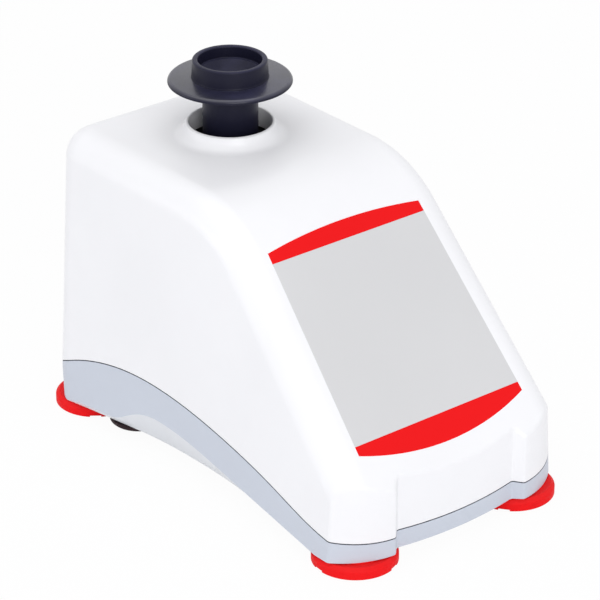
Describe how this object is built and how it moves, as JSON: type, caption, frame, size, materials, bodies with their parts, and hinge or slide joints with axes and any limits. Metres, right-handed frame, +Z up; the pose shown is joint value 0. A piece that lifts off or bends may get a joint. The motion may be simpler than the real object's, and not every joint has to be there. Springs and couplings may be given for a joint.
{
  "type": "vortex mixer",
  "caption": "Touch-operated bench vortex mixer with a sloped front, rubber feet and a round rubber cup head that orbits on an eccentric when it is pressed.",
  "frame": {"origin": "on the bench, under the middle of the feet", "axes": "+Z up, -Y towards the sloped front with its label, +Y towards the rear wall with the inlet, +X to the right of someone who faces the rear"},
  "size_m": [0.1228, 0.2136, 0.1645],
  "materials": {
    "housing_white": "satin white moulding",
    "base_grey": "satin grey-blue moulding",
    "label_grey": "matte printed film, bare",
    "trim_red": "printed red band",
    "rubber_red": "red moulded rubber",
    "rubber_black": "black moulded rubber",
    "plastic_black": "black moulding",
    "steel": "turned and plated",
    "spring_steel": "drawn wire",
    "bearing_steel": "ground",
    "lamination_steel": "stacked sheet",
    "winding_copper": "enamelled copper wire",
    "bronze": "sintered",
    "aluminium": "die cast and turned",
    "iron": "cast, painted",
    "board_green": "coated laminate",
    "fuse_glass": "clear tube with capped ends"
  },
  "bodies": {
    "housing": {"upper_housing": "housing_white", "base_shell": "base_grey", "label_panel": "label_grey", "upper_trim": "trim_red", "lower_trim": "trim_red", "foot_front_left": "rubber_red", "foot_front_right": "rubber_red", "foot_rear_left": "rubber_red", "foot_rear_right": "rubber_red", "bumper_pads": "rubber_black", "guide_pillars": "steel", "stop_nuts": "steel", "return_springs": "spring_steel", "switch_bracket": "steel", "switch_body": "plastic_black", "ballast_plate": "iron", "board_standoffs": "steel", "control_board": "board_green", "motor_capacitor": "aluminium", "terminal_block": "plastic_black", "power_inlet": "plastic_black", "inlet_pins": "bronze", "housing_screws": "steel", "foot_screws": "steel"},
    "motor_carriage": {"carriage_plate": "steel", "slide_bushes": "bronze", "motor_screws": "steel", "stator_stack": "lamination_steel", "stator_windings": "winding_copper", "upper_end_bell": "aluminium", "lower_end_bell": "aluminium", "upper_bush": "bronze", "lower_bush": "bronze"},
    "rotor": {"motor_shaft": "steel", "rotor_core": "lamination_steel", "cooling_fan": "plastic_black", "eccentric_hub": "aluminium", "counterweight": "iron", "hub_set_screw": "steel", "bearing_inner_ring": "bearing_steel", "pin_clip": "steel"},
    "cup_head": {"rubber_cup": "rubber_black", "splash_disc": "plastic_black", "cup_carrier": "aluminium", "bearing_outer_ring": "bearing_steel", "bearing_balls": "bearing_steel"},
    "switch_lever": {"switch_lever": "steel"},
    "fuse_drawer": {"fuse_drawer": "plastic_black", "fuse": "fuse_glass"}
  },
  "joints": [
    {"name": "press", "type": "slide", "parent": "housing", "child": "motor_carriage", "axis": [0, 0, -1], "range_m": [0, 0.002], "stiffness_N_per_m": 9000, "springref_m": -0.004, "deforming": ["return_springs"]},
    {"name": "shaft_spin", "type": "hinge", "parent": "motor_carriage", "child": "rotor", "pos_m": [0, 0.0459, 0.06], "axis": [0, 0, 1], "continuous": true},
    {"name": "cup_orbit", "type": "hinge", "parent": "rotor", "child": "cup_head", "pos_m": [0.00127, 0.04745, 0.1075], "axis": [0, 0, 1], "continuous": true},
    {"name": "switch_pivot", "type": "hinge", "parent": "housing", "child": "switch_lever", "pos_m": [-0.008, -0.008, 0.079], "axis": [0, 1, 0], "range_deg": [0, 9.8]},
    {"name": "fuse_slide", "type": "slide", "parent": "housing", "child": "fuse_drawer", "axis": [0, 1, 0], "range_m": [0, 0.016]}
  ],
  "couplings": [
    {"joint": "cup_orbit", "follows": "shaft_spin", "ratio": -1},
    {"joint": "switch_pivot", "follows": "press", "rad_per_m": 85}
  ]
}
